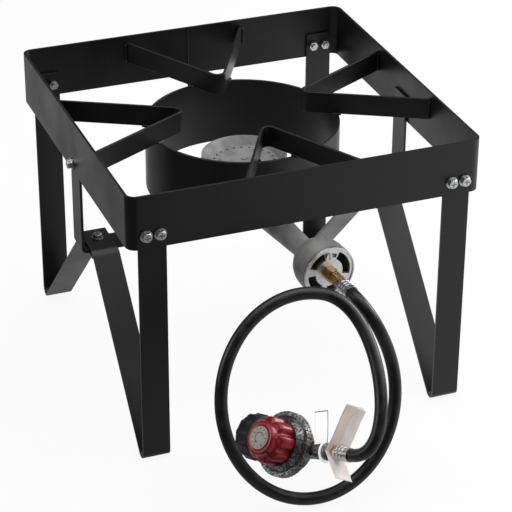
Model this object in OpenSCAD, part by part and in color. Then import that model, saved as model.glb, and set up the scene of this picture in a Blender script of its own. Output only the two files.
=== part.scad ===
// Outdoor propane burner stand with a high-pressure regulator and hose.
// Lengths in mm, angles in degrees. The origin is on the ground, midway between the
// four feet. +Z is up and -Y is the front, where the gas hose comes out.

/* [Frame] */

// Outside width and depth of the square top band
frame_size = 406; // [380:1:430]

// Height of the top band's upper edge above the ground
frame_h = 330; // [315:1:350]

// Height of the top band itself
band_h = 62; // [56:1:70]

// Thickness of every steel strap
strap_t = 3; // [2.5:0.1:3.2]

// Width of the leg straps and of the cross strap
strap_w = 31.5; // [29:0.5:33]

// Outer corner radius of the top band
corner_r = 11.5; // [8:0.5:11.5]

/* [Pot supports and wind ring] */

// Height of a pot support strap
support_h = 25; // [20:1:28]

// Drop from the band's upper edge to the pot supports
support_drop = 8; // [4:1:12]

// Distance from the burner centre to the tip of a pot support
support_tip = 73.5; // [66:0.5:82]

// Half width of a pot support where it meets the band
support_reach = 72.5; // [60:0.5:84]

// Outer radius of the wind ring under the pot supports
ring_r = 111.5; // [105:0.5:118]

// Height of the wind ring
ring_h = 78; // [66:1:80]

/* [Legs and cross strap] */

// Height of the cross strap's upper face above the ground
strap_top = 171; // [168:0.5:172]

// Distance from the centre plane to the middle of a leg strap
leg_x = 175.5; // [172:0.25:175.5]

/* [Burner] */

// Sideways offset of the burner from the frame centre
burner_x = 2.5; // [-4:0.5:6]

// Radius of the burner cup at its rim
cup_r = 49.5; // [46:0.5:54]

// Number of gas ports around the burner head
port_count = 24; // [16:1:30]

// Direction of the venturi tube, measured from the front
venturi_turn = 5.8; // [0:0.1:5.8]

/* [Regulator] */

// Radius of the regulator's crimped rim
reg_r = 36; // [35:0.1:37]

// Number of finger lobes on the adjusting knob
knob_lobes = 8; // [6:1:10]

/* [Hidden] */

$fn = 96;
frame_black = "#262626";
cast_grey = "#6f6f70";
zinc = "#c9ccd0";
brass = "#b8914a";
die_cast = "#8a8f90";
rubber_black = "#1a1a1a";
knob_red = "#a80f1e";
paper_white = "#f2f2ee";

// Frame
half = frame_size / 2;
inner_half = half - strap_t;
band_bottom = frame_h - band_h;

// Pot supports: each is one strap bent to a V, with its tip towards the middle
tip_bend_r = 8.5;
support_bottom = frame_h - support_drop - support_h;
tip_centre = support_tip + tip_bend_r + strap_t / 2;
support_rise = inner_half - tip_centre;
support_span = norm([support_reach, support_rise]);
support_angle = atan2(support_reach, support_rise) - asin(tip_bend_r / support_span);

// Legs: a strap that drops to the ground, turns back up and ends in a tab at the
// cross strap
foot_bend_r = 7.5;
tab_bend_r = 12;
leg_top = frame_h - 32;
tab_start = 21;
tab_end = 26;
brace_x = 175.6;
brace_y = 4;

// Cross strap: a U that hangs from the left and right bands and carries the burner
hanger_bend_r = 4.5;
hanger_top = frame_h - 30;
strap_bottom = strap_top - strap_t;

// M6 bolts and nuts
bolt_r = 3;
bolt_hole_r = 3.2;
nut_h = 5;
nut_af = 10;
leg_bolt_z = frame_h - 46.5;
leg_bolt_off = 7.8;
hanger_bolt_z = frame_h - 54;

// Burner casting
venturi_z = strap_top + 30;
deck_z = strap_top + 73;
rim_z = strap_top + 82;
port_r = 1.5;
port_circle = 35;
tube_r = 15.4;
neck_r = 11.5;
venturi_wall = 3.5;
throat_r = 9.5;
taper_start = 70;
tube_end = 158;
bell_r = 31;
bell_start = 190;
bell_end = 206;
window_in = 16.5;
window_out = 25.5;
// Each air window: start angle and width
windows = [[-16, 77], [106, 53], [180, 60], [262, 60]];
shutter_r = 30.5;
shutter_gap = 0.1;
shutter_t = 1.6;
slot_r = 20.5;
slot_from = 66;
slot_to = 100;
screw_angle = 94;
screw_r = 2;

// Hose and its end fittings
hose_r = 7;
hose_bore_r = 4.2;
barb_r = 3.95;
barb_bore_r = 2.4;
ferrule_r = 8;
ferrule_len = 20;
hose_in_ferrule = 18.8;
hose_leave_burner = 258;

// Regulator: local +Z is the knob axis, +X points along the outlet
reg_pos = [-54.5, -288.5, 45];
reg_tilt = 57;
reg_azimuth = -166;
reg_spin = 112;
inlet_turn = 175;
port_axis_z = -6;
hose_leave_reg = 86;
knob_bottom = 17.5;
knob_shoulder = 38;
knob_top = 46.5;
label_t = 0.4;
screw_shaft_r = 4;
seat_z = 24;
seat_t = 4;
neck_bore_r = 10.1;
plate_z = 6;
plate_t = 1.6;
wire_r = 1;
coil_r = 7.5;
pivot_x = 14;

// Hose route: an oval loop that rests on the ground and leans back, joined to the burner
// and to the regulator by curves that leave along each fitting's own axis
loop_w = 212;
loop_h = 226;
loop_x = -38;
loop_y = -304;
loop_lean = 36;
loop_lift = 0.5;
loop_join = 5;
loop_leave = -285;
burner_pull = 110;
regulator_pull = 220;

// ---------- shared shapes ----------

function dir(a) = [cos(a), sin(a)];

// One edge of a strap that follows steps of [straight run, turn to the left, bend radius],
// off to the left of its middle line
function strap_edge(steps, off, p = [0, 0], heading = 0, i = 0) =
    i == len(steps) ? [] :
    let (
        run = steps[i][0], turn = steps[i][1],
        across = sign(turn) * steps[i][2],
        corner = p + run * dir(heading),
        centre = corner + across * dir(heading + 90),
        facets = ceil(abs(turn) / 6)
    )
    concat(
        i == 0 ? [p + off * dir(heading + 90)] : [],
        run > 0 ? [corner + off * dir(heading + 90)] : [],
        [for (k = [1 : 1 : facets])
            centre + (off - across) * dir(heading + turn * k / facets + 90)],
        strap_edge(steps, off, centre - across * dir(heading + turn + 90),
            heading + turn, i + 1)
    );

// A bent strap standing on the XY plane, starting at the origin and heading +X
module strap(width, steps) {
    left = strap_edge(steps, strap_t / 2);
    right = strap_edge(steps, -strap_t / 2);
    linear_extrude(width)
        polygon(concat(left, [for (k = [len(right) - 1 : -1 : 0]) right[k]]));
}

module rounded_square(size, r) {
    square([size - 2 * r, size], center = true);
    square([size, size - 2 * r], center = true);
    for (x = [-1, 1], y = [-1, 1])
        translate([x, y] * (size / 2 - r))
            circle(r);
}

module hexagon(af, h) {
    cylinder(h = h, r = af / 2 / cos(30), $fn = 6);
}

// A flanged hex bolt with a cross recess: the flange sits on z = 0, the shank points down
module flange_bolt(shank) {
    difference() {
        union() {
            cylinder(h = 1.6, r = 6.75);
            intersection() {
                hexagon(10, 6.2);
                cylinder(h = 6.2, r1 = 10.5, r2 = 4.7);
            }
            translate([0, 0, -shank])
                cylinder(h = shank, r = bolt_r);
        }
        for (a = [0, 90])
            rotate([0, 0, a])
                translate([-3.2, -0.6, 4.2])
                    cube([6.4, 1.2, 3]);
    }
}

// A hex nut whose upper face is at z = 0
module hex_nut() {
    translate([0, 0, -nut_h])
        difference() {
            hexagon(nut_af, nut_h);
            translate([0, 0, -1])
                cylinder(h = nut_h + 2, r = bolt_r + 0.05);
        }
}

module bolt_hole() {
    translate([0, 0, -14])
        cylinder(h = 28, r = bolt_hole_r);
}

// ---------- places ----------

// The eight leg bolts: z = 0 is the band's outer face, +Z points outwards
module at_leg_bolts() {
    for (back = [0, 180], side = [-1, 1], off = [-1, 1])
        rotate([0, 0, back])
            translate([side * leg_x + off * leg_bolt_off, -half, leg_bolt_z])
                rotate([90, 0, 0])
                    children();
}

// The two bolts that hold the cross strap in the left and right bands
module at_hanger_bolts() {
    for (back = [0, 180])
        rotate([0, 0, back])
            translate([half, 0, hanger_bolt_z])
                rotate([0, 90, 0])
                    children();
}

// The two upright bolts through the leg tabs and the cross strap
module at_brace_bolts() {
    for (side = [-1, 1])
        translate([side * brace_x, brace_y, strap_top + strap_t])
            children();
}

// The venturi axis: +Z runs outwards from the burner axis
module at_venturi(s) {
    translate([burner_x, 0, venturi_z])
        rotate([0, 0, venturi_turn])
            rotate([90, 0, 0])
                translate([0, 0, s])
                    children();
}

module at_regulator() {
    translate(reg_pos)
        rotate([0, reg_tilt, reg_azimuth])
            rotate([0, 0, reg_spin])
                children();
}

// The regulator's outlet axis: +Z runs outwards from the knob axis
module at_outlet(s) {
    at_regulator()
        outlet_axis(s)
            children();
}

module outlet_axis(s) {
    translate([s, 0, port_axis_z])
        rotate([0, 90, 0])
            children();
}

// The regulator's inlet side: +X runs outwards, Z is the knob axis
module at_inlet() {
    at_regulator()
        rotate([0, 0, inlet_turn])
            children();
}

// ---------- hose path ----------

function unit(v) = v / norm(v);
function turn_z(v, a) = [v.x * cos(a) - v.y * sin(a), v.x * sin(a) + v.y * cos(a), v.z];
function tilt_y(v, a) = [v.x * cos(a) + v.z * sin(a), v.y, v.z * cos(a) - v.x * sin(a)];
function reg_vector(v) = turn_z(tilt_y(turn_z(v, reg_spin), reg_tilt), reg_azimuth);
function venturi_point(s) =
    [burner_x + s * sin(venturi_turn), -s * cos(venturi_turn), venturi_z];
function outlet_point(s) = reg_pos + reg_vector([s, 0, port_axis_z]);

// The middle of the hose at angle a around its loop, counted from the loop's right side
function loop_point(a) = [
    loop_x + (loop_w / 2 - hose_r) * cos(a),
    loop_y + loop_lean * sin(a),
    loop_lift + loop_h / 2 + (loop_h / 2 - hose_r) * sin(a)
];

// The direction of the hose there, running down the loop's right side
function loop_way(a) = unit(loop_point(a - 1) - loop_point(a + 1));

// n points of a cubic from p, with slope u, to just before q, with slope v
function join(p, u, q, v, n) = [
    for (k = [0 : n - 1])
        let (t = k / n)
            (1 + 2 * t) * (1 - t) * (1 - t) * p + t * (1 - t) * (1 - t) * u
                + t * t * (3 - 2 * t) * q + t * t * (t - 1) * v
];

function hose_path(loop_steps = 40) = concat(
    [for (back = [hose_in_ferrule, 0.5]) venturi_point(hose_leave_burner - back)],
    join(
        venturi_point(hose_leave_burner + 1),
        burner_pull * unit(venturi_point(1) - venturi_point(0)),
        loop_point(loop_join), burner_pull * loop_way(loop_join), 10
    ),
    [for (k = [0 : loop_steps - 1])
        loop_point(loop_join + (loop_leave - loop_join) * k / loop_steps)],
    join(
        loop_point(loop_leave), regulator_pull * loop_way(loop_leave),
        outlet_point(hose_leave_reg + 1), -regulator_pull * reg_vector([1, 0, 0]), 18
    ),
    [for (back = [-1, 0.5, hose_in_ferrule]) outlet_point(hose_leave_reg - back)]
);

// A round tube or wire along a path; a bore radius of 0 makes it solid
module sweep(path, r, bore, sides) {
    last = len(path) - 1;
    tangents = [
        for (i = [0 : last]) unit(path[min(i + 1, last)] - path[max(i - 1, 0)])
    ];
    start = unit(cross(tangents[0], [0.3, 0.2, 1]));
    normals = [
        for (i = 0, n = start; i <= last; i = i + 1,
             n = i > last ? n : unit(n - (n * tangents[i]) * tangents[i])) n
    ];
    radii = bore > 0 ? [r, bore] : [r];
    points = [
        for (rad = radii, i = [0 : last], k = [0 : sides - 1])
            path[i] + rad * (cos(360 * k / sides) * normals[i]
                + sin(360 * k / sides) * cross(tangents[i], normals[i]))
    ];
    ring = (last + 1) * sides;
    outer = [
        for (i = [0 : last - 1], k = [0 : sides - 1])
            let (a = i * sides + k, b = i * sides + (k + 1) % sides)
                each [[a, a + sides, b], [b, a + sides, b + sides]]
    ];
    inner = [for (f = outer) [f[2], f[1], f[0]] + [ring, ring, ring]];
    annuli = [
        for (k = [0 : sides - 1])
            let (b = (k + 1) % sides, e = last * sides)
                each [
                    [k, b, ring + k], [b, ring + b, ring + k],
                    [e + b, e + k, ring + e + k], [ring + e + b, e + b, ring + e + k]
                ]
    ];
    discs = [
        for (k = [1 : sides - 2])
            each [[0, k, k + 1], [last * sides, last * sides + k + 1, last * sides + k]]
    ];
    polyhedron(points, bore > 0 ? concat(outer, inner, annuli) : concat(outer, discs));
}

// ---------- frame ----------

module top_band() {
    color(frame_black)
        difference() {
            translate([0, 0, band_bottom])
                linear_extrude(band_h)
                    difference() {
                        rounded_square(frame_size, corner_r);
                        rounded_square(2 * inner_half, corner_r - strap_t);
                    }
            at_leg_bolts() bolt_hole();
            at_hanger_bolts() bolt_hole();
        }
}

module pot_support(turn) {
    arm = support_span + 5;
    heading = 90 - support_angle;
    tip_from = [0, -tip_centre] - tip_bend_r * dir(-support_angle);
    color(frame_black)
        rotate([0, 0, turn])
            translate([0, 0, support_bottom])
                intersection() {
                    translate(tip_from - arm * dir(heading))
                        rotate([0, 0, heading])
                            strap(support_h, [[arm, -2 * heading, tip_bend_r], [arm, 0, 0]]);
                    translate([-half, -inner_half, 0])
                        cube([frame_size, inner_half, support_h]);
                }
}

module pot_support_front() { pot_support(0); }
module pot_support_right() { pot_support(90); }
module pot_support_rear() { pot_support(180); }
module pot_support_left() { pot_support(270); }

module wind_ring() {
    color(frame_black)
        translate([0, 0, support_bottom - ring_h])
            difference() {
                cylinder(h = ring_h, r = ring_r);
                translate([0, 0, -1])
                    cylinder(h = ring_h + 2, r = ring_r - strap_t);
            }
}

// Side view of a leg: straight down from the band, round the foot, up to the tab
module leg_strap(tab_z) {
    foot = [foot_bend_r - inner_half + strap_t / 2, foot_bend_r + strap_t / 2];
    knee = [-tab_start, tab_z - tab_bend_r];
    gap = norm(knee - foot);
    cross_r = foot_bend_r + tab_bend_r;
    rise = atan2(knee.y - foot.y, knee.x - foot.x) + asin(cross_r / gap);
    translate([leg_x - strap_w / 2, 0, 0])
        rotate([90, 0, 90])
            translate([foot.x - foot_bend_r, leg_top, 0])
                rotate([0, 0, -90])
                    strap(strap_w, [
                        [leg_top - foot.y, 90 + rise, foot_bend_r],
                        [sqrt(gap * gap - cross_r * cross_r), -rise, tab_bend_r],
                        [tab_start + tab_end, 0, 0]
                    ]);
}

module leg(side, back, tab_z) {
    color(frame_black)
        difference() {
            rotate([0, 0, back ? 180 : 0])
                if (side > 0)
                    leg_strap(tab_z);
                else
                    mirror([1, 0, 0])
                        leg_strap(tab_z);
            at_leg_bolts() bolt_hole();
            at_brace_bolts() bolt_hole();
        }
}

module leg_front_left() { leg(-1, false, strap_top + strap_t / 2); }
module leg_front_right() { leg(1, false, strap_top + strap_t / 2); }
module leg_rear_left() { leg(1, true, strap_bottom - strap_t / 2); }
module leg_rear_right() { leg(-1, true, strap_bottom - strap_t / 2); }

module cross_strap() {
    x = inner_half - strap_t / 2;
    drop = hanger_top - strap_bottom - strap_t / 2 - hanger_bend_r;
    color(frame_black)
        difference() {
            translate([-x, strap_w / 2, hanger_top])
                rotate([90, 0, 0])
                    rotate([0, 0, -90])
                        strap(strap_w, [
                            [drop, 90, hanger_bend_r],
                            [2 * (x - hanger_bend_r), 90, hanger_bend_r],
                            [drop, 0, 0]
                        ]);
            at_hanger_bolts() bolt_hole();
            at_brace_bolts() bolt_hole();
            translate([burner_x, 0, strap_top])
                bolt_hole();
        }
}

module leg_bolts() {
    color(zinc) at_leg_bolts() flange_bolt(2 * strap_t + nut_h + 2.5);
}

module leg_nuts() {
    color(zinc) at_leg_bolts() translate([0, 0, -2 * strap_t]) hex_nut();
}

module hanger_bolts() {
    color(zinc) at_hanger_bolts() flange_bolt(2 * strap_t + nut_h + 2.5);
}

module hanger_nuts() {
    color(zinc) at_hanger_bolts() translate([0, 0, -2 * strap_t]) hex_nut();
}

module brace_bolts() {
    color(zinc) at_brace_bolts() flange_bolt(3 * strap_t + nut_h + 2.5);
}

module brace_nuts() {
    color(zinc) at_brace_bolts() translate([0, 0, -3 * strap_t]) hex_nut();
}

// ---------- burner ----------

module head_outside() {
    rotate_extrude()
        polygon([
            [0, strap_top], [13, strap_top], [13, strap_top + 11], [16, strap_top + 14],
            [16, deck_z - 34], [25, deck_z - 28],
            [39, deck_z - 18], [cup_r - 3, deck_z - 8], [cup_r, deck_z + 3],
            [cup_r, rim_z], [cup_r - 2, rim_z], [cup_r - 9.5, deck_z],
            [29.5, deck_z], [28.5, deck_z + 2.5], [4, deck_z + 2.5],
            [3.5, deck_z + 4], [0, deck_z + 4]
        ]);
}

module head_chamber() {
    rotate_extrude()
        polygon([
            [0, venturi_z], [throat_r, venturi_z], [throat_r, deck_z - 30],
            [22, deck_z - 23], [35, deck_z - 13], [38, deck_z - 4.5], [0, deck_z - 4.5]
        ]);
}

// The venturi: a tube that narrows to a neck, then swells into a bell along a quarter
// of an ellipse; every radius is less by inset
module venturi_shape(inset, from, to) {
    a0 = 25;
    grow = bell_start - tube_end;
    rotate_extrude()
        polygon(concat(
            [[0, from], [tube_r - inset, from], [tube_r - inset, taper_start]],
            [for (a = [a0 : 13 : 90]) [
                neck_r - inset + (bell_r - neck_r) * (sin(a) - sin(a0)) / (1 - sin(a0)),
                tube_end + grow * (cos(a0) - cos(a)) / cos(a0)
            ]],
            [[bell_r - inset, to], [0, to]]
        ));
}

module air_windows(from, thickness) {
    for (w = windows)
        rotate([0, 0, w[0]])
            translate([0, 0, from])
                rotate_extrude(angle = w[1])
                    translate([window_in, 0])
                        square([window_out - window_in, thickness]);
}

module burner_casting() {
    color(cast_grey)
        difference() {
            union() {
                translate([burner_x, 0, 0])
                    head_outside();
                at_venturi(0)
                    venturi_shape(0, 0, bell_end);
            }
            translate([burner_x, 0, 0]) {
                head_chamber();
                translate([0, 0, strap_top - 1])
                    cylinder(h = 12, r = bolt_r + 0.05);
                for (i = [0 : port_count - 1])
                    rotate([0, 0, 360 * i / port_count])
                        translate([port_circle, 0, deck_z - 8])
                            cylinder(h = 12, r = port_r);
            }
            at_venturi(0)
                venturi_shape(venturi_wall, -8, bell_end - 3);
            at_venturi(bell_end - 4)
                cylinder(h = 5, r = 6);
            at_venturi(0)
                air_windows(bell_end - 4, 5);
            at_venturi(bell_end - 4)
                rotate([0, 0, screw_angle])
                    translate([slot_r, 0, 0])
                        cylinder(h = 5, r = screw_r + 0.05);
        }
}

module burner_mount_bolt() {
    color(zinc)
        translate([burner_x, 0, strap_bottom])
            rotate([180, 0, 0])
                flange_bolt(strap_t + 11);
}

module air_shutter() {
    color(zinc)
        at_venturi(bell_end + shutter_gap)
            difference() {
                union() {
                    cylinder(h = shutter_t, r = shutter_r);
                    difference() {
                        cylinder(h = shutter_t + 1.4, r = shutter_r);
                        cylinder(h = shutter_t + 2, r = shutter_r - 1.6);
                    }
                }
                translate([0, 0, -1])
                    cylinder(h = shutter_t + 3, r = 7);
                air_windows(-1, shutter_t + 3);
                rotate([0, 0, slot_from])
                    translate([0, 0, -1])
                        rotate_extrude(angle = slot_to - slot_from)
                            translate([slot_r - screw_r - 0.3, 0])
                                square([2 * screw_r + 0.6, shutter_t + 3]);
            }
}

// Pan-head screw through the shutter's slot into the bell's end wall
module shutter_screw() {
    color(zinc)
        at_venturi(bell_end)
            rotate([0, 0, screw_angle])
                translate([slot_r, 0, 0])
                    difference() {
                        union() {
                            translate([0, 0, -5])
                                cylinder(h = 7.2, r = screw_r);
                            translate([0, 0, shutter_t + 0.2])
                                cylinder(h = 2.6, r = 3.9);
                        }
                        translate([-5, -0.5, shutter_t + 1.8])
                            cube([10, 1, 2]);
                    }
}

// ---------- hose and fittings ----------

module gas_orifice() {
    color(brass)
        at_venturi(bell_end)
            difference() {
                union() {
                    translate([0, 0, -9])
                        cylinder(h = 10, r = 5.95);
                    cylinder(h = 2, r = 6.95);
                    translate([0, 0, 2])
                        hexagon(15, 11);
                    translate([0, 0, 12])
                        cylinder(h = 12, r = 5);
                }
                translate([0, 0, -6])
                    cylinder(h = 31, r = 2.5);
                translate([0, 0, -10])
                    cylinder(h = 5, r = 0.6);
            }
}

module hose_swivel_nut() {
    color(brass)
        at_venturi(bell_end + 14)
            difference() {
                hexagon(13, 14);
                translate([0, 0, -1])
                    cylinder(h = 12.3, r = 5.05);
                cylinder(h = 15, r = 4);
            }
}

// A stem that plugs into the hose, with barbs that grip its bore; z = 0 is the head
module barb_stem(length) {
    difference() {
        union() {
            cylinder(h = 1.1, r = 4.9);
            cylinder(h = length, r = barb_r);
            for (k = [1 : 3])
                translate([0, 0, length - 5 * k])
                    cylinder(h = 3, r1 = barb_r + 0.1, r2 = barb_r);
        }
        translate([0, 0, -1])
            cylinder(h = length + 2, r = barb_bore_r);
    }
}

module hose_barb_burner() {
    color(brass)
        at_venturi(bell_end + 24.1)
            barb_stem(hose_leave_burner - bell_end - 26);
}

// The pressed sleeve over a hose end: z = 0 is its closed end
module ferrule() {
    difference() {
        cylinder(h = ferrule_len, r = ferrule_r);
        translate([0, 0, 1])
            cylinder(h = ferrule_len, r = hose_r + 0.1);
        translate([0, 0, -1])
            cylinder(h = ferrule_len, r = hose_bore_r + 0.1);
        for (k = [1 : 3])
            translate([0, 0, 4.5 * k])
                rotate_extrude()
                    translate([ferrule_r + 0.4, 0])
                        circle(0.9);
    }
}

module hose_ferrule_burner() {
    color(zinc)
        at_venturi(hose_leave_burner - ferrule_len)
            ferrule();
}

module hose_ferrule_regulator() {
    color(zinc)
        at_outlet(hose_leave_reg - ferrule_len)
            ferrule();
}

module hose() {
    color(rubber_black)
        sweep(hose_path(), hose_r, hose_bore_r, 16);
}

module hose_barb_regulator() {
    flats = hose_leave_reg - ferrule_len;
    color(brass)
        at_outlet(flats - 8)
            difference() {
                union() {
                    translate([0, 0, -9])
                        cylinder(h = 10, r = 5);
                    hexagon(15, 8);
                    translate([0, 0, 7])
                        cylinder(h = ferrule_len - 1, r = barb_r);
                }
                translate([0, 0, -10])
                    cylinder(h = 50, r = barb_bore_r);
            }
}

// ---------- regulator ----------

module regulator_body() {
    color(die_cast)
        at_regulator()
            difference() {
                union() {
                    rotate_extrude()
                        polygon([
                            [0, -17], [21, -17], [27, -11], [29.5, -2], [29.5, 2.5],
                            [34.9, 2.5], [34.9, 5], [0, 5]
                        ]);
                    difference() {
                        regulator_arms();
                        translate([0, 0, 1])
                            cylinder(h = 14, r = reg_r + 0.6);
                    }
                }
                rotate_extrude()
                    polygon([[0, -13], [22, -13], [26, -5], [26, 6], [0, 6]]);
                outlet_axis(20)
                    cylinder(h = 40, r = 3.2);
                outlet_axis(48)
                    cylinder(h = 12, r = 5.05);
                rotate([0, 0, inlet_turn])
                    outlet_axis(20)
                        cylinder(h = 20, r = 1.6);
                rotate([0, 0, inlet_turn])
                    outlet_axis(33)
                        cylinder(h = 5, r = 4.5);
                rotate([0, 0, inlet_turn])
                    outlet_axis(37)
                        cylinder(h = 8, r = 6.05);
            }
    color(die_cast)
        at_inlet()
            lever_lugs();
}

// The outlet arm with its gauge boss, and the inlet boss
module regulator_arms() {
    outlet_axis(24)
        cylinder(h = 34, r1 = 10.5, r2 = 8.7);
    outlet_axis(53)
        cylinder(h = 5, r = 9.6);
    translate([45, 0, port_axis_z])
        cylinder(h = 12, r = 4.5);
    rotate([0, 0, inlet_turn])
        outlet_axis(24)
            cylinder(h = 20, r = 11);
}

// Two lugs inside the body that hold the lever's pin
module lever_lugs() {
    for (side = [-1, 1])
        difference() {
            translate([pivot_x - 2.5, side * 5 - 1.5, -13])
                cube([5, 3, 15]);
            translate([pivot_x, side * 5 - 2, 0])
                rotate([-90, 0, 0])
                    cylinder(h = 4, r = 1.2);
        }
}

module regulator_bonnet() {
    color(die_cast)
        at_regulator()
            rotate_extrude()
                polygon([
                    [26, 6], [34.9, 6], [34.9, 9.5], [31, 9.5], [26, 16.5], [14, 16.5],
                    [14, 36], [screw_shaft_r + 0.05, 36], [screw_shaft_r + 0.05, 32],
                    [neck_bore_r, 32], [neck_bore_r, 13], [22, 13], [26, 9]
                ]);
}

// The rolled ring that clamps body, diaphragm and bonnet together
module crimp_ring() {
    color(zinc)
        at_regulator()
            difference() {
                translate([0, 0, 1.5])
                    cylinder(h = 9, r = reg_r);
                translate([0, 0, 2.5])
                    cylinder(h = 7, r = 34.9);
                cylinder(h = 12, r = 32);
                for (i = [0 : 47])
                    rotate([0, 0, 7.5 * i])
                        translate([reg_r + 0.3, 0, 0])
                            cylinder(h = 12, r = 0.8);
            }
}

module adjusting_knob() {
    skirt_h = knob_shoulder - knob_bottom;
    color(knob_red)
        at_regulator()
            difference() {
                union() {
                    translate([0, 0, knob_bottom])
                        linear_extrude(skirt_h)
                            polygon([
                                for (a = [1 : 3 : 358])
                                    (23.3 + 2.7 * cos(knob_lobes * a)) * dir(a)
                            ]);
                    translate([0, 0, knob_bottom + skirt_h / 2])
                        cylinder(h = knob_top - knob_bottom - skirt_h / 2, r = 19);
                }
                translate([0, 0, knob_bottom - 1])
                    cylinder(h = skirt_h + 2, r = 15.5);
                translate([0, 0, knob_shoulder])
                    cylinder(h = 5, r = screw_shaft_r);
            }
}

module knob_label() {
    color(paper_white)
        at_regulator()
            translate([0, 0, knob_top])
                cylinder(h = label_t, r = 12.5);
}

module adjusting_screw() {
    color(zinc)
        at_regulator()
            translate([0, 0, 18])
                cylinder(h = knob_shoulder + 5 - 18, r = screw_shaft_r);
}

module spring_seat() {
    color(zinc)
        at_regulator()
            translate([0, 0, seat_z])
                difference() {
                    cylinder(h = seat_t, r = neck_bore_r - 0.08);
                    translate([0, 0, -1])
                        cylinder(h = seat_t + 2, r = screw_shaft_r + 0.05);
                }
}

module main_spring() {
    low = plate_z + plate_t + wire_r + 0.02;
    high = seat_z - wire_r - 0.02;
    turns = 5;
    steps = 16;
    path = [
        for (i = [0 : turns * steps])
            [
                coil_r * cos(360 * i / steps), coil_r * sin(360 * i / steps),
                low + (high - low) * i / (turns * steps)
            ]
    ];
    color(zinc)
        at_regulator()
            sweep(path, wire_r, 0, 8);
}

module diaphragm() {
    color(rubber_black)
        at_regulator()
            translate([0, 0, 5])
                difference() {
                    cylinder(h = 1, r = 34.9);
                    translate([0, 0, -1])
                        cylinder(h = 3, r = 2.5);
                }
}

// The plate on the diaphragm and the post that presses on the lever
module diaphragm_plate() {
    color(zinc)
        at_regulator() {
            translate([0, 0, plate_z])
                cylinder(h = plate_t, r = 14);
            translate([0, 0, 1])
                cylinder(h = plate_z - 1, r = 2.4);
        }
}

module valve_lever() {
    color(zinc)
        at_inlet()
            difference() {
                union() {
                    translate([-2, -2.5, -0.9])
                        cube([pivot_x + 2, 5, 1.8]);
                    translate([pivot_x, -3, 0])
                        rotate([-90, 0, 0])
                            cylinder(h = 6, r = 2.2);
                    translate([pivot_x - 0.9, -2, -8])
                        cube([1.8, 4, 8]);
                }
                translate([pivot_x, -4, 0])
                    rotate([-90, 0, 0])
                        cylinder(h = 8, r = 1.25);
            }
}

module lever_pin() {
    color(zinc)
        at_inlet()
            translate([pivot_x, -6.5, 0])
                rotate([-90, 0, 0])
                    cylinder(h = 13, r = 1.2);
}

// The push rod from the lever to the valve head that closes the inlet bore
module valve_stem() {
    color(brass)
        at_inlet()
            outlet_axis(pivot_x + 1) {
                cylinder(h = 33 - pivot_x - 1, r = 1.5);
                translate([0, 0, 33.05 - pivot_x - 1])
                    cylinder(h = 2, r = 3.2);
                cylinder(h = 33.1 - pivot_x - 1, r = 1.5);
            }
}

module inlet_nipple() {
    color(brass)
        at_inlet()
            outlet_axis(0)
                difference() {
                    union() {
                        translate([0, 0, 37.5])
                            cylinder(h = 8, r = 6);
                        translate([0, 0, 44])
                            cylinder(h = 7.5, r = 6.95);
                        translate([0, 0, 51.1])
                            cylinder(h = 2, r = 10);
                        translate([0, 0, 53])
                            cylinder(h = 17, r = 5.6);
                        translate([0, 0, 70])
                            cylinder(h = 3, r1 = 5.6, r2 = 3.6);
                    }
                    translate([0, 0, 30])
                        cylinder(h = 50, r = 2.5);
                    translate([0, 0, 65])
                        difference() {
                            cylinder(h = 2, r = 7);
                            translate([0, 0, -1])
                                cylinder(h = 4, r = 4.1);
                        }
                }
}

module inlet_seal() {
    color(rubber_black)
        at_inlet()
            outlet_axis(66)
                rotate_extrude()
                    translate([4.95, 0])
                        circle(0.84);
}

// The hand wheel that screws onto the gas cylinder's valve
module tank_nut() {
    color(rubber_black)
        at_inlet()
            outlet_axis(45)
                difference() {
                    union() {
                        cylinder(h = 22, r = 24.6);
                        cylinder(h = 3, r = 25.4);
                        for (i = [0 : 11])
                            rotate([0, 0, 30 * i])
                                translate([23.2, 0, 0])
                                    cylinder(h = 20, r = 3);
                    }
                    translate([0, 0, -1])
                        cylinder(h = 24, r = 7.02);
                    translate([0, 0, 6])
                        cylinder(h = 20, r = 16.7);
                }
}

// ---------- tags ----------

// An upright strip with a hole that slips over the hose's ferrule
module warning_tag() {
    color(paper_white)
        at_outlet(66.6)
            linear_extrude(0.6)
                difference() {
                    translate([-14, -32])
                        square([28, 82]);
                    circle(8.2);
                }
}

// A card that stands beside the ring that holds it on the outlet arm
module hang_tag() {
    color(paper_white)
        at_outlet(50.4)
            linear_extrude(0.6)
                difference() {
                    union() {
                        circle(12.4);
                        translate([-1, 9.5])
                            rotate(16)
                                translate([-20, 0])
                                    square([20, 35]);
                    }
                    circle(9.4);
                }
}

top_band();
pot_support_front();
pot_support_right();
pot_support_rear();
pot_support_left();
wind_ring();
leg_front_left();
leg_front_right();
leg_rear_left();
leg_rear_right();
cross_strap();
leg_bolts();
leg_nuts();
hanger_bolts();
hanger_nuts();
brace_bolts();
brace_nuts();
burner_casting();
burner_mount_bolt();
air_shutter();
shutter_screw();
gas_orifice();
hose_swivel_nut();
hose_barb_burner();
hose_ferrule_burner();
hose();
hose_ferrule_regulator();
hose_barb_regulator();
regulator_body();
regulator_bonnet();
crimp_ring();
adjusting_knob();
knob_label();
adjusting_screw();
spring_seat();
main_spring();
diaphragm();
diaphragm_plate();
valve_lever();
lever_pin();
valve_stem();
inlet_nipple();
inlet_seal();
tank_nut();
warning_tag();
hang_tag();
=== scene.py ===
"""Finishes, soft shapes, small fabrication details and a studio for the burner stand.

Lengths in the shapes below are in millimetres, as in the CAD; MM turns them into metres.
"""

import math

import bmesh
import bpy
from mathutils import Euler, Matrix, Vector

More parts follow.
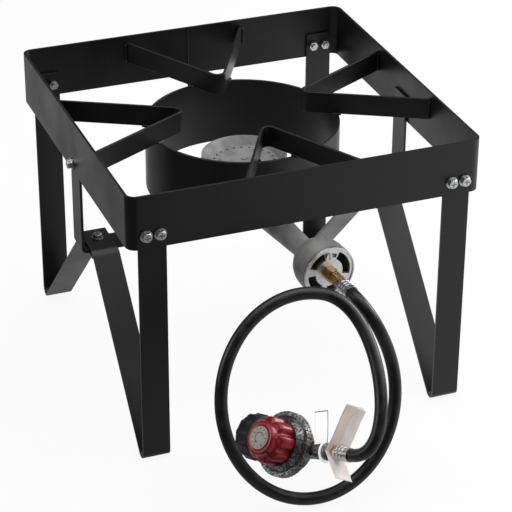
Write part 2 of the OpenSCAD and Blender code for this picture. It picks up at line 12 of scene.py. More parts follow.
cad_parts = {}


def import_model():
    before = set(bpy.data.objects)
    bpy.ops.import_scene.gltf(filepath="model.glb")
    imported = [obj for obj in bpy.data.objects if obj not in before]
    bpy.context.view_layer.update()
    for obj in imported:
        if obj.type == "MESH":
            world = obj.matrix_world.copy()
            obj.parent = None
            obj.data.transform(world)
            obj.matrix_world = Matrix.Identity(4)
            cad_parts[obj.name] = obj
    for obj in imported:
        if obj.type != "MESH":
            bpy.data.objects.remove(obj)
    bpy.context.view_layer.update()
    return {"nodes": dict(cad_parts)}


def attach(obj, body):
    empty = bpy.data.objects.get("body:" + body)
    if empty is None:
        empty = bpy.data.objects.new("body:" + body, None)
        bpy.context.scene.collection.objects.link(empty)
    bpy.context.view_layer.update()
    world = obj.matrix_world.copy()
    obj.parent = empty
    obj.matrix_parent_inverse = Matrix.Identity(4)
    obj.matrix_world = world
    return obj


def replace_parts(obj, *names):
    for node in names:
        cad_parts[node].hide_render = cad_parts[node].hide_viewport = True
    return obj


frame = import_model()
NODES = frame["nodes"]
MM = 0.001


# ---------- places taken from the CAD ----------

INNER_HALF = 200.0
BAND_BOTTOM = 268.0
BAND_TOP = 330.0
SUPPORT_BOTTOM = 297.0
SUPPORT_TOP = 322.0
SUPPORT_REACH = 72.5
TIP_CENTRE = 83.5
TIP_BEND = 8.5
RING_MIDDLE = 110.0
PORT_AXIS_Z = -6.0
HOSE_RADIUS = 7.0
HOSE_IN_FERRULE = 18.8
HOSE_LEAVES_BURNER = 258.0
HOSE_LEAVES_REGULATOR = 86.0
KNOB_LOBES = 8

VENTURI = (
    Matrix.Translation(Vector((2.5, 0, 201)) * MM)
    @ Matrix.Rotation(math.radians(5.8), 4, "Z")
    @ Matrix.Rotation(math.radians(90), 4, "X")
)
# Regulator axes: +Z is the knob axis and +X the outlet
REGULATOR = (
    Matrix.Translation(Vector((-54.5, -288.5, 45)) * MM)
    @ Euler((0, math.radians(57), math.radians(-166))).to_matrix().to_4x4()
    @ Matrix.Rotation(math.radians(112), 4, "Z")
)
# Port axes: +Z runs outwards, +Y keeps the regulator's +Y side
OUTLET = (
    REGULATOR
    @ Matrix.Translation((0, 0, PORT_AXIS_Z * MM))
    @ Matrix.Rotation(math.radians(90), 4, "Y")
)
INLET = (
    REGULATOR
    @ Matrix.Rotation(math.radians(175), 4, "Z")
    @ Matrix.Translation((0, 0, PORT_AXIS_Z * MM))
    @ Matrix.Rotation(math.radians(90), 4, "Y")
)

# The hose's oval loop rests on the ground, facing the front: its outside size, its middle
# and how far its top leans back from its middle
LOOP_WIDTH = 212.0
LOOP_HEIGHT = 226.0
LOOP_MIDDLE = (-38.0, -304.0)
LOOP_LEAN = 36.0
LOOP_LIFT = 0.5
# Where the hose joins and leaves the loop, in degrees from its right side, and how far
# the free ends keep their direction
LOOP_JOIN = 5.0
LOOP_LEAVE = -285.0
BURNER_PULL = 110.0
REGULATOR_PULL = 220.0
# Steps of the hose cover along its three stretches
BURNER_STEPS, LOOP_STEPS, REGULATOR_STEPS = 40, 160, 70


def along(place, distance):
    """The point this many millimetres out along a place's Z axis."""
    return place @ Vector((0, 0, distance * MM))


# ---------- material building blocks ----------

class Finish:
    """A procedural material around one Principled shader."""

    def __init__(self, name, metal=0.0, coat=0.0):
        self.material = bpy.data.materials.new(name)
        self.material.use_nodes = True
        self.tree = self.material.node_tree
        self.shader = self.tree.nodes["Principled BSDF"]
        self.shader.inputs["Metallic"].default_value = metal
        self.shader.inputs["Coat Weight"].default_value = coat

    def add(self, kind, links=(), **settings):
        """A new node; links holds (input, output socket) pairs."""
        made = self.tree.nodes.new("ShaderNode" + kind)
        for key, value in settings.items():
            setattr(made, key, value)
        for key, value in links:
            if isinstance(value, bpy.types.NodeSocket):
                self.tree.links.new(value, made.inputs[key])
            else:
                made.inputs[key].default_value = value
        return made

    def place(self, stretch=(1, 1, 1)):
        where = self.add("TexCoord")
        return self.add(
            "Mapping", [("Vector", where.outputs["Object"]), ("Scale", stretch)]
        ).outputs["Vector"]

    def noise(self, size, detail=3.0, stretch=(1, 1, 1)):
        """Noise whose features are about size millimetres across."""
        return self.add("TexNoise", [
            ("Vector", self.place(stretch)),
            ("Scale", 1.0 / (size * MM)),
            ("Detail", detail),
        ]).outputs["Fac"]

    def cells(self, size):
        """Distance to the nearest of points about size millimetres apart."""
        return self.add("TexVoronoi", [
            ("Vector", self.place()),
            ("Scale", 1.0 / (size * MM)),
        ]).outputs["Distance"]

    def remap(self, value, low, high, start=0.35, end=0.65):
        return self.add("MapRange", [
            ("Value", value), ("From Min", start), ("From Max", end),
            ("To Min", low), ("To Max", high),
        ]).outputs["Result"]

    def blend(self, factor, first, second):
        """Mixes two colours, each an RGB triple or a socket."""
        ends = [
            (slot, end if isinstance(end, bpy.types.NodeSocket) else (*end, 1))
            for slot, end in ((6, first), (7, second))
        ]
        return self.add("Mix", [("Factor", factor), *ends], data_type="RGBA").outputs[2]

    def colour(self, value):
        self.tree.links.new(value, self.shader.inputs["Base Color"])

    def roughness(self, value):
        self.tree.links.new(value, self.shader.inputs["Roughness"])

    def bump(self, *layers):
        """Stacks (height, depth in millimetres) layers into the shader's normal."""
        normal = None
        for height, depth in layers:
            links = [("Height", height), ("Distance", depth * MM), ("Strength", 1.0)]
            if normal:
                links.append(("Normal", normal))
            normal = self.add("Bump", links).outputs["Normal"]
        self.tree.links.new(normal, self.shader.inputs["Normal"])


# ---------- materials ----------

def black_paint():
    """Satin black powder coat: orange peel, faint dust and rubbed patches."""
    paint = Finish("black_paint")
    patches = paint.noise(60, 5)
    dust = paint.noise(1.2, 2)
    tone = paint.blend(
        paint.remap(patches, 0, 1), (0.0052, 0.0052, 0.0054), (0.0084, 0.0083, 0.0082)
    )
    paint.colour(tone)
    paint.roughness(paint.remap(patches, 0.34, 0.44))
    paint.bump((paint.noise(2.4, 2), 0.035), (dust, 0.010))
    return paint.material


def zinc_steel():
    """Bright zinc plate with a faint blue cast and handling marks."""
    zinc = Finish("zinc_steel", metal=1.0)
    marks = zinc.noise(3.0, 5)
    zinc.colour(zinc.blend(
        zinc.remap(marks, 0, 1), (0.56, 0.57, 0.58), (0.72, 0.73, 0.74)
    ))
    zinc.roughness(zinc.remap(zinc.noise(1.1, 4), 0.22, 0.40))
    zinc.bump((zinc.noise(1.4, 2), 0.02))
    return zinc.material


def plated_sheet():
    """Pressed sheet with a light spangle."""
    sheet = Finish("plated_sheet", metal=1.0)
    sheet.colour(sheet.blend(
        sheet.remap(sheet.cells(4.0), 0, 1, 0.0, 0.8), (0.70, 0.70, 0.71), (0.84, 0.84, 0.84)
    ))
    sheet.roughness(sheet.remap(sheet.noise(5, 5), 0.30, 0.46))
    sheet.bump((sheet.noise(1.2, 3), 0.02))
    return sheet.material


def cast_iron():
    """Raw sand casting: open grain, dark pores and a dull metallic sheen."""
    iron = Finish("cast_iron", metal=0.55)
    grain = iron.noise(0.9, 5)
    pores = iron.remap(iron.cells(2.2), 0, 1, 0.03, 0.14)
    tone = iron.blend(
        iron.remap(iron.noise(18, 4), 0, 1), (0.25, 0.25, 0.25), (0.37, 0.37, 0.365)
    )
    iron.colour(iron.blend(iron.remap(pores, 0, 1, 0.03, 0.08), (0.07, 0.07, 0.07), tone))
    iron.roughness(iron.remap(grain, 0.52, 0.74))
    iron.bump((iron.noise(3.0, 3), 0.16), (grain, 0.10), (pores, 0.12))
    return iron.material


def brass():
    """Machined brass, a little tarnished, with fine turning lines."""
    metal = Finish("brass", metal=1.0)
    tarnish = metal.noise(4.0, 5)
    metal.colour(metal.blend(
        metal.remap(tarnish, 0, 1), (0.50, 0.30, 0.12), (0.86, 0.66, 0.34)
    ))
    metal.roughness(metal.remap(tarnish, 0.34, 0.20))
    metal.bump((metal.noise(0.5, 1, (0.4, 1.6, 0.4)), 0.02))
    return metal.material


def hose_rubber():
    """Extruded hose cover: satin, with a fine skin and pale scuffs."""
    rubber = Finish("hose_rubber")
    scuffs = rubber.noise(14, 6)
    rubber.colour(rubber.blend(
        rubber.remap(scuffs, 0, 1, 0.45, 0.75), (0.0075, 0.0075, 0.0078),
        (0.020, 0.020, 0.019)
    ))
    rubber.roughness(rubber.remap(scuffs, 0.30, 0.44))
    rubber.bump((rubber.noise(1.6, 2), 0.03), (rubber.noise(9, 2), 0.08))
    return rubber.material


def seal_rubber():
    """Matt moulded rubber."""
    rubber = Finish("seal_rubber")
    bloom = rubber.noise(2.0, 4)
    rubber.colour(rubber.blend(
        rubber.remap(bloom, 0, 1), (0.010, 0.010, 0.011), (0.022, 0.021, 0.020)
    ))
    rubber.roughness(rubber.remap(bloom, 0.6, 0.8))
    rubber.bump((bloom, 0.02))
    return rubber.material


def die_cast_zinc():
    """Dull grey-green die casting with a mottled, lightly pitted skin."""
    metal = Finish("die_cast_zinc", metal=0.8)
    mottle = metal.noise(2.4, 6)
    pits = metal.cells(1.5)
    metal.colour(metal.blend(
        metal.remap(mottle, 0, 1, 0.42, 0.64), (0.06, 0.066, 0.065), (0.34, 0.35, 0.345)
    ))
    metal.roughness(metal.remap(mottle, 0.44, 0.28))
    metal.bump((mottle, 0.10), (pits, 0.03))
    return metal.material


def red_plastic():
    """Glossy moulded red plastic with a soft ripple and fine scratches."""
    plastic = Finish("red_plastic", coat=0.25)
    flow = plastic.noise(12, 3)
    plastic.colour(plastic.blend(
        plastic.remap(flow, 0, 1), (0.27, 0.003, 0.012), (0.38, 0.006, 0.020)
    ))
    plastic.roughness(plastic.remap(plastic.noise(1.5, 5), 0.20, 0.34))
    plastic.bump((flow, 0.10), (plastic.noise(0.7, 2), 0.008))
    return plastic.material


def black_plastic():
    """Textured black moulded plastic."""
    plastic = Finish("black_plastic")
    grain = plastic.noise(0.6, 2)
    plastic.colour(plastic.blend(
        plastic.remap(plastic.noise(10, 4), 0, 1), (0.004, 0.0045, 0.004),
        (0.008, 0.0085, 0.008)
    ))
    plastic.roughness(plastic.remap(grain, 0.45, 0.62))
    plastic.bump((grain, 0.03))
    return plastic.material


def paper(name, tone, edge, glow=0.0):
    """Card stock with fibres and uneven whiteness; glow is painted light, an emission in the
    card's own tone that brightens it beyond what the lamps give.
    """
    card = Finish(name)
    # Painted light: the card emits its own tone at strength glow.
    card.shader.inputs["Emission Color"].default_value = (*tone, 1)
    card.shader.inputs["Emission Strength"].default_value = glow
    fibres = card.noise(0.7, 5, (1, 1, 3))
    card.colour(card.blend(card.remap(card.noise(9, 5), 0, 1), tone, edge))
    card.roughness(card.remap(fibres, 0.62, 0.82))
    card.bump((fibres, 0.02), (card.noise(16, 3), 0.25))
    return card.material


FINISHES = {
    "black_paint": black_paint(),
    "zinc_steel": zinc_steel(),
    "plated_sheet": plated_sheet(),
    "cast_iron": cast_iron(),
    "brass": brass(),
    "hose_rubber": hose_rubber(),
    "seal_rubber": seal_rubber(),
    "die_cast_zinc": die_cast_zinc(),
    "red_plastic": red_plastic(),
    "black_plastic": black_plastic(),
    # Painted light: this plain card finish glows at strength 0.55.
    "paper": paper("paper", (0.86, 0.86, 0.855), (0.91, 0.91, 0.905), 0.55),
}
# Dark grey card finish: painted shade along a card's edges.
PAINTED_EDGE_SHADE = paper("painted_edge_shade", (0.22, 0.22, 0.22), (0.30, 0.30, 0.30))
# Painted light: the leaflet paper glows at strength 0.22.
LEAFLET_PAPER = paper("leaflet_paper", (0.66, 0.60, 0.57), (0.76, 0.72, 0.69), 0.22)
LABEL_PAPER = paper("label_paper", (0.52, 0.50, 0.45), (0.60, 0.58, 0.53))
LABEL_INK = paper("label_ink", (0.05, 0.05, 0.05), (0.09, 0.09, 0.085))

NODE_FINISHES = {
    "black_paint": (
        "top_band", "pot_support_front", "pot_support_right", "pot_support_rear",
        "pot_support_left", "wind_ring", "leg_front_left", "leg_front_right",
        "leg_rear_left", "leg_rear_right", "cross_strap",
    ),
    "zinc_steel": (
        "leg_bolts", "leg_nuts", "hanger_bolts", "hanger_nuts", "brace_bolts",
        "brace_nuts", "burner_mount_bolt", "shutter_screw", "hose_ferrule_burner",
        "hose_ferrule_regulator", "adjusting_screw", "spring_seat", "main_spring",
        "diaphragm_plate", "valve_lever", "lever_pin",
    ),
    "plated_sheet": ("air_shutter",),
    "cast_iron": ("burner_casting",),
    "brass": (
        "gas_orifice", "hose_swivel_nut", "hose_barb_burner", "hose_barb_regulator",
        "valve_stem", "inlet_nipple",
    ),
    "seal_rubber": ("diaphragm", "inlet_seal"),
    "die_cast_zinc": ("regulator_body", "regulator_bonnet", "crimp_ring"),
}
# Edge rounding in millimetres for the CAD nodes of each finish
EDGE_RADIUS = {
    "black_paint": 0.45, "zinc_steel": 0.18, "plated_sheet": 0.25, "cast_iron": 0.6,
    "brass": 0.2, "seal_rubber": 0.1, "die_cast_zinc": 0.35,
}


def dress_cad_nodes():
    """Gives each CAD node its finish, rounded edges and smooth shading."""
    for finish, names in NODE_FINISHES.items():
        for name in names:
            piece = NODES[name]
            piece.data.materials.clear()
            piece.data.materials.append(FINISHES[finish])
            weld = piece.modifiers.new("weld", "WELD")
            weld.merge_threshold = 0.004 * MM
            flats = piece.modifiers.new("flats", "DECIMATE")
            flats.decimate_type = "DISSOLVE"
            flats.angle_limit = math.radians(0.5)
            edges = piece.modifiers.new("edges", "BEVEL")
            edges.width = EDGE_RADIUS[finish] * MM
            edges.segments = 2
            edges.limit_method = "ANGLE"
            edges.angle_limit = math.radians(35)
            edges.use_clamp_overlap = True
            facing = piece.modifiers.new("facing", "WEIGHTED_NORMAL")
            facing.weight = 100


# ---------- shape building blocks ----------

def add_piece(name, mesh, finish, body="stand", smooth=True):
    """Turns a bmesh into a shown piece that moves with a CAD body."""
    bmesh.ops.recalc_face_normals(mesh, faces=mesh.faces)
    data = bpy.data.meshes.new(name)
    mesh.to_mesh(data)
    mesh.free()
    for face in data.polygons:
        face.use_smooth = smooth
    data.materials.append(FINISHES[finish])
    piece = bpy.data.objects.new(name, data)
    bpy.context.scene.collection.objects.link(piece)
    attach(piece, body)
    return piece


def lathe(mesh, place, profile, sides, wave=None, closed=False):
    """Adds a turned shape about a place's Z axis.

    profile holds (height, radius) or (height, radius, share of wave); a radius of 0 makes
    a pole. wave gives a radius change in millimetres for an angle.
    """
    rings = []
    for height, radius, *share in profile:
        if radius == 0:
            pole = mesh.verts.new(place @ Vector((0, 0, height * MM)))
            rings.append([pole] * sides)
            continue
        ring = []
        for k in range(sides):
            angle = 2 * math.pi * k / sides
            reach = radius + (share[0] * wave(angle) if share else 0)
            spot = Vector((reach * math.cos(angle), reach * math.sin(angle), height))
            ring.append(mesh.verts.new(place @ (spot * MM)))
        rings.append(ring)
    if closed:
        rings.append(rings[0])
    for low, high in zip(rings, rings[1:]):
        for k in range(sides):
            after = (k + 1) % sides
            corners = [low[k], low[after], high[after], high[k]]
            mesh.faces.new(list(dict.fromkeys(corners)))


def join(start, leave, end, arrive, steps):
    """Points of a cubic from start to just before end, with these slopes at its ends."""
    made = []
    for k in range(steps):
        t = k / steps
        made.append(
            (1 + 2 * t) * (1 - t) ** 2 * start + t * (1 - t) ** 2 * leave
            + t ** 2 * (3 - 2 * t) * end + t ** 2 * (t - 1) * arrive
        )
    return made


def tube(mesh, path, radius, sides, bulge=None):
    """Adds a closed tube along a path; bulge gives a radius factor along it."""
    tangents = [
        (path[min(i + 1, len(path) - 1)] - path[max(i - 1, 0)]).normalized()
        for i in range(len(path))
    ]
    across = tangents[0].orthogonal().normalized()
    rings = []
    for i, (spot, tangent) in enumerate(zip(path, tangents)):
        across = (across - across.dot(tangent) * tangent).normalized()
        beside = tangent.cross(across)
        reach = radius * MM * (bulge(i / (len(path) - 1)) if bulge else 1)
        rings.append([
            mesh.verts.new(spot + reach * (
                math.cos(2 * math.pi * k / sides) * across
                + math.sin(2 * math.pi * k / sides) * beside
            ))
            for k in range(sides)
        ])
    for low, high in zip(rings, rings[1:]):
        for k in range(sides):
            after = (k + 1) % sides
            mesh.faces.new([low[k], low[after], high[after], high[k]])
    mesh.faces.new(rings[0])
    mesh.faces.new(rings[-1])


def bead(mesh, start, end, radius, ripples):
    """Adds a weld bead between two points in millimetres."""
    steps = ripples * 4
    path = [start.lerp(end, i / steps) * MM for i in range(steps + 1)]

    def bulge(share):
        taper = min(1.0, 8 * share + 0.45, 8 * (1 - share) + 0.45)
        return taper * (0.86 + 0.14 * abs(math.cos(math.pi * ripples * share)))

    tube(mesh, path, radius, 10, bulge)


# ---------- replaced pieces ----------

def loop_point(degrees):
    """The middle of the hose at an angle around its loop."""
    angle = math.radians(degrees)
    x, y = LOOP_MIDDLE
    return Vector((
        x + (LOOP_WIDTH / 2 - HOSE_RADIUS) * math.cos(angle),
        y + LOOP_LEAN * math.sin(angle),
        LOOP_LIFT + LOOP_HEIGHT / 2 + (LOOP_HEIGHT / 2 - HOSE_RADIUS) * math.sin(angle),
    )) * MM


def loop_way(degrees):
    """The direction of the hose there, running down the loop's right side."""
    return (loop_point(degrees - 1) - loop_point(degrees + 1)).normalized()


def hose():
    """The cover: straight in the burner ferrule, around the loop, into the other ferrule."""
    start = along(VENTURI, HOSE_LEAVES_BURNER + 1)
    end = along(OUTLET, HOSE_LEAVES_REGULATOR + 1)
    burner_pull, regulator_pull = BURNER_PULL * MM, REGULATOR_PULL * MM
    path = [along(VENTURI, HOSE_LEAVES_BURNER - HOSE_IN_FERRULE)]
    path += join(
        start, VENTURI.col[2].xyz * burner_pull,
        loop_point(LOOP_JOIN), loop_way(LOOP_JOIN) * burner_pull, BURNER_STEPS,
    )
    path += [
        loop_point(LOOP_JOIN + (LOOP_LEAVE - LOOP_JOIN) * k / LOOP_STEPS)
        for k in range(LOOP_STEPS)
    ]
    path += join(
        loop_point(LOOP_LEAVE), loop_way(LOOP_LEAVE) * regulator_pull,
        end, -OUTLET.col[2].xyz * regulator_pull, REGULATOR_STEPS,
    )
    path += [end, along(OUTLET, HOSE_LEAVES_REGULATOR - HOSE_IN_FERRULE)]
    mesh = bmesh.new()
    tube(mesh, path, HOSE_RADIUS, 32)
    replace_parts(add_piece("hose_cover", mesh, "hose_rubber"), "hose")


def knob():
    """The lobed skirt and the round boss above it, bored for the screw."""
    def lobes(angle):
        crest = 0.5 + 0.5 * math.cos(KNOB_LOBES * angle)
        return 2.7 - 4.0 * (1 - crest) ** 3.0

    mesh = bmesh.new()
    lathe(mesh, REGULATOR, [
        (37, 0), (37, 15.5), (17.5, 15.5), (17.5, 21.8, 0.7), (18.0, 22.7, 0.9),
        (19.0, 23.2, 1), (22.0, 23.3, 1), (34.6, 23.0, 1), (36.6, 22.4, 0.95),
        (37.8, 21.4, 0.75), (38.3, 20.4, 0.45), (38.7, 19.6, 0.1), (39.6, 19.1),
        (44.4, 19.0), (45.6, 18.7), (46.3, 17.9), (46.6, 16.6), (46.5, 13.4), (46.3, 12.9),
        (46.3, 0),
    ], 256, lobes)
    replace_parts(add_piece("knob_shell", mesh, "red_plastic", "knob"), "adjusting_knob")


def dial():
    """The label: a paper disc with plain dial ticks and a turn arrow."""
    mesh = bmesh.new()
    lathe(mesh, REGULATOR, [
        (46.3, 0), (46.3, 12.5), (46.8, 12.5), (46.9, 12.2), (46.9, 0),
    ], 96)
    disc = add_piece("dial_disc", mesh, "paper", "knob", smooth=False)
    disc.data.materials[0] = LABEL_PAPER
    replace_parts(disc, "knob_label")
    marks = bmesh.new()
    for k in range(11):
        angle = math.radians(30 * k)
        length = 3.0 if k % 5 == 0 else 1.7
        bar(marks, angle, 11.0 - length, 11.0, 0.55)
    arc = [math.radians(20 + 8 * k) for k in range(27)]
    ribbon(marks, arc, 5.4, 6.4)
    arrow_head(marks, arc[-1], 5.9)
    ink = add_piece("dial_marks", marks, "paper", "knob", smooth=False)
    ink.data.materials[0] = LABEL_INK


def dial_prism(mesh, corners):
    """A thin raised patch on the label, from (angle, radius) corners."""
    levels = [
        [
            mesh.verts.new(REGULATOR @ (Vector(
                (radius * math.cos(angle), radius * math.sin(angle), height)
            ) * MM))
            for angle, radius in corners
        ]
        for height in (46.85, 47.0)
    ]
    mesh.faces.new(levels[0])
    mesh.faces.new(levels[1])
    for k in range(len(corners)):
        after = (k + 1) % len(corners)
        mesh.faces.new([levels[0][k], levels[0][after], levels[1][after], levels[1][k]])


def bar(mesh, angle, inner, outer, half_width):
    dial_prism(mesh, [
        (angle + side * half_width / radius, radius)
        for radius, sides in ((inner, (-1, 1)), (outer, (1, -1)))
        for side in sides
    ])


def ribbon(mesh, angles, inner, outer):
    dial_prism(
        mesh,
        [(angle, inner) for angle in angles] + [(angle, outer) for angle in reversed(angles)],
    )


def arrow_head(mesh, angle, radius):
    dial_prism(mesh, [
        (angle, radius - 1.8), (angle + 0.42, radius), (angle, radius + 1.8),
    ])


def tank_nut():
    """The ribbed hand nut with a ridged bore that stands for its thread."""
    def ribs(angle):
        return 1.5 * max(0.0, math.cos(12 * angle)) ** 0.6

    threads = [(20.6 - 1.2 * k, 16.7 if k % 2 else 15.9) for k in range(12)]
    mesh = bmesh.new()
    lathe(mesh, INLET @ Matrix.Translation((0, 0, 45 * MM)), [
        (0, 7.1), (0, 22.8), (0.5, 24.4), (1.6, 25.4), (2.6, 25.2), (3.4, 24.4, 0.3),
        (4.6, 24.5, 1), (18.6, 24.3, 1), (20.4, 23.8, 0.7), (21.5, 23.0, 0.2),
        (22, 21.8), (22, 17.8), (21.4, 16.9), *threads, (6, 16.7), (6, 7.1),
    ], 240, ribs, closed=True)
    piece = add_piece("tank_wheel", mesh, "black_plastic", "tank_nut")
    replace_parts(piece, "tank_nut")


def grid(mesh, place, spot, rows, columns, painted_shade_outline=False):
    """Adds a surface: spot(u, v) is its point in millimetres in the place's axes.

    painted_shade_outline gives the last row and the first column the second finish, a dark
    border of painted shade.
    """
    corners = [
        [mesh.verts.new(place @ (Vector(spot(i / rows, j / columns)) * MM))
         for j in range(columns + 1)]
        for i in range(rows + 1)
    ]
    for i in range(rows):
        for j in range(columns):
            face = mesh.faces.new([
                corners[i][j], corners[i + 1][j], corners[i + 1][j + 1], corners[i][j + 1],
            ])
            face.material_index = int(painted_shade_outline and (i == rows - 1 or j == 0))


def paper_piece(name, mesh, thickness):
    """Turns thin surfaces into card, with a dark second finish for a border of painted shade.
    """
    piece = add_piece(name, mesh, "paper")
    piece.data.materials.append(PAINTED_EDGE_SHADE)
    solid = piece.modifiers.new("thickness", "SOLIDIFY")
    solid.thickness = thickness * MM
    solid.offset = 0
    return piece


def warning_tag():
    """A blank leaflet on the ferrule: one long page, and a half page folded over it."""
    left, right, fold = -14.0, 13.0, 2.4

    def lean(rise):
        return 61 + (0.35 * rise if rise > 0 else -0.85 * rise)

    def long_page(u, v):
        rise = -27 + 79 * u
        return (
            left + (right - left) * v, rise,
            lean(rise) + 0.8 * math.sin(0.11 * rise + 2 * v) + 2.5 * (v - 0.5) ** 2,
        )

    def half_page(u, v):
        width = 24.0
        travel = v * (math.pi * fold + width)
        rise = 9.5 + 40.5 * u
        near_corner = max(0.0, travel - math.pi * fold - width + 8) / 8
        rise -= 8 * u * (1 - math.sqrt(1 - min(1, near_corner) ** 2))
        if travel < math.pi * fold:
            turn = travel / fold
            across, out = right + fold * math.sin(turn), fold * (1 - math.cos(turn))
        else:
            across = right - 0.97 * (travel - math.pi * fold)
            out = 2 * fold + 0.25 * (travel - math.pi * fold)
        return (across, rise, lean(rise) + out + 0.7 * math.sin(0.12 * rise))

    mesh = bmesh.new()
    grid(mesh, OUTLET, long_page, 60, 14)
    grid(mesh, OUTLET, half_page, 30, 24)
    leaflet = paper_piece("warning_leaflet", mesh, 0.3)
    leaflet.data.materials[0] = LEAFLET_PAPER
    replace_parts(leaflet, "warning_tag")


def hang_tag():
    """A blank card and the ring that holds it on the outlet arm."""
    tilt = math.radians(16)

    def spot(u, v):
        across, rise = -20 * v, 35 * u
        return (
            -1 + across * math.cos(tilt) - rise * math.sin(tilt),
            9.5 + across * math.sin(tilt) + rise * math.cos(tilt),
            50.7 + 0.5 * math.sin(3 * u) + 0.6 * (v - 0.5) ** 2,
        )

    mesh = bmesh.new()
    # The card's top row and one side column get painted shade along its edges.
    grid(mesh, OUTLET, spot, 28, 18, painted_shade_outline=True)
    card = paper_piece("hang_card", mesh, 0.5)
    ring = bmesh.new()
    lathe(ring, OUTLET @ Matrix.Translation((0, 0, 50.4 * MM)), [
        (0.05, 9.4), (0, 9.6), (0, 12.2), (0.1, 12.4), (0.5, 12.4), (0.6, 12.2), (0.6, 9.6),
        (0.55, 9.4),
    ], 64, closed=True)
    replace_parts(card, "hang_tag")
    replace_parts(add_piece("hang_ring", ring, "paper"), "hang_tag")


# ---------- fabrication details ----------

def support_line():
    """Where one pot support's straight side starts at its tip bend, and its band end."""
    end = Vector((SUPPORT_REACH, -INNER_HALF))
    span = math.hypot(SUPPORT_REACH, INNER_HALF - TIP_CENTRE)
    angle = math.atan2(SUPPORT_REACH, INNER_HALF - TIP_CENTRE) - math.asin(TIP_BEND / span)
    start = Vector((math.cos(angle), math.sin(angle))) * TIP_BEND
    return start - Vector((0, TIP_CENTRE)), end


def support_welds():
    """Upright beads at the band and tacks where the supports sit on the wind ring."""
    start, end = support_line()
    run = (end - start).normalized()
    side = Vector((run.y, -run.x))
    reach = -start.dot(run)
    crossing = start + run * (
        reach + math.sqrt(RING_MIDDLE ** 2 - start.length_squared + reach ** 2)
    )
    mesh = bmesh.new()
    for turn in range(4):
        quarter = Matrix.Rotation(math.radians(90 * turn), 3, "Z")
        for mirror in (-1, 1):
            def spot(flat, height):
                return quarter @ Vector((mirror * flat.x, flat.y, height))

            for hand in (-1, 1):
                foot = end + Vector((hand * 2.6, 0.9))
                bead(mesh, spot(foot, SUPPORT_BOTTOM + 1), spot(foot, SUPPORT_TOP - 2), 1.7, 8)
                tack = crossing + hand * 2.0 * side
                bead(
                    mesh, spot(tack - 5 * run, SUPPORT_BOTTOM),
                    spot(tack + 5 * run, SUPPORT_BOTTOM), 1.6, 4,
                )
    add_piece("support_welds", mesh, "black_paint")


def band_seam():
    """The band's butt weld, ground outside and left proud inside the rear side."""
    mesh = bmesh.new()
    bead(
        mesh, Vector((4, INNER_HALF, BAND_BOTTOM + 0.8)),
        Vector((4, INNER_HALF, BAND_TOP - 0.8)), 1.1, 20,
    )
    add_piece("band_seam", mesh, "black_paint")


# ---------- studio ----------

def area_light(name, place, size, power):
    data = bpy.data.lights.new(name, "AREA")
    data.size = size
    data.energy = power
    lamp = bpy.data.objects.new(name, data)
    lamp.location = place
    aim = Vector((0, -0.05, 0.2)) - lamp.location
    lamp.rotation_mode = "QUATERNION"
    lamp.rotation_quaternion = aim.to_track_quat("-Z", "Y")
    bpy.context.scene.collection.objects.link(lamp)


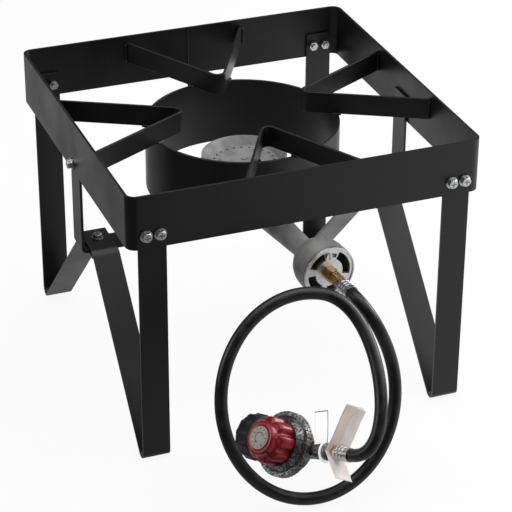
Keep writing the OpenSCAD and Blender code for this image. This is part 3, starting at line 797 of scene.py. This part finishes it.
def floor():
    """A pale floor: near white to the camera, with a soft contact shadow.

    In reflections and as bounce light it glows more to the right and the back.
    """
    mesh = bpy.data.meshes.new("floor")
    mesh.from_pydata([(-6, -6, 0), (6, -6, 0), (6, 6, 0), (-6, 6, 0)], [], [(0, 1, 2, 3)])
    pale = Finish("floor")
    pale.colour(pale.blend(pale.noise(400, 3), (0.80, 0.80, 0.80), (0.84, 0.84, 0.84)))
    pale.shader.inputs["Roughness"].default_value = 0.9
    seen = pale.add("LightPath").outputs["Is Camera Ray"]
    where = pale.add("TexCoord").outputs["Object"]
    slope = pale.add(
        "VectorMath", [(0, where), (1, (1.05, 0.46, 0))], operation="DOT_PRODUCT"
    ).outputs["Value"]
    bounce = pale.add("Math", [(0, slope), (1, 0.63)], operation="ADD").outputs[0]
    bounce = pale.add("Clamp", [("Value", bounce), ("Min", 0.1), ("Max", 1.0)]).outputs[0]
    level = pale.add("Mix", [("Factor", seen), (2, bounce), (3, 1.0)]).outputs[0]
    glow = pale.add("Emission", [("Strength", level)]).outputs[0]
    share = pale.add("MapRange", [
        ("Value", seen), ("To Min", 1.0), ("To Max", 0.92),
    ]).outputs["Result"]
    mix = pale.add(
        "MixShader", [("Fac", share), (1, pale.shader.outputs[0]), (2, glow)]
    ).outputs[0]
    pale.tree.links.new(mix, pale.tree.nodes["Material Output"].inputs["Surface"])
    mesh.materials.append(pale.material)
    plane = bpy.data.objects.new("floor", mesh)
    bpy.context.scene.collection.objects.link(plane)


def world():
    """White to the camera, dim to everything it lights."""
    made = bpy.data.worlds.new("studio")
    made.use_nodes = True
    tree = made.node_tree
    background = tree.nodes["Background"]
    background.inputs["Color"].default_value = (1, 1, 1, 1)
    rays = tree.nodes.new("ShaderNodeLightPath")
    level = tree.nodes.new("ShaderNodeMapRange")
    level.inputs["To Min"].default_value = 0.07
    level.inputs["To Max"].default_value = 1.0
    tree.links.new(rays.outputs["Is Camera Ray"], level.inputs["Value"])
    tree.links.new(level.outputs[0], background.inputs["Strength"])
    bpy.context.scene.world = made


def camera():
    """The photo's view: 29 degrees down, from 21 degrees left of straight ahead."""
    data = bpy.data.cameras.new("camera")
    data.lens = 148.4
    data.sensor_width = 36
    made = bpy.data.objects.new("camera", data)
    made.matrix_world = (
        Matrix.Translation((-0.7697, -2.0415, 1.3328))
        @ Matrix.Rotation(math.radians(-21.09), 4, "Z")
        @ Matrix.Rotation(math.radians(60.90), 4, "X")
        @ Matrix.Rotation(math.radians(0.31), 4, "Z")
    )
    bpy.context.scene.collection.objects.link(made)
    bpy.context.scene.camera = made


def studio():
    world()
    floor()
    camera()
    area_light("key_right", (2.3, 0.1, 1.2), 1.4, 46)
    area_light("side_left", (-2.3, 0.3, 1.2), 1.4, 16)
    area_light("front_right", (1.3, -1.1, 1.6), 1.3, 9)
    area_light("top", (0.2, 0.2, 2.6), 2.8, 52)
    bpy.context.scene.view_settings.view_transform = "Standard"


dress_cad_nodes()
hose()
knob()
dial()
tank_nut()
warning_tag()
hang_tag()
support_welds()
band_seam()
studio()
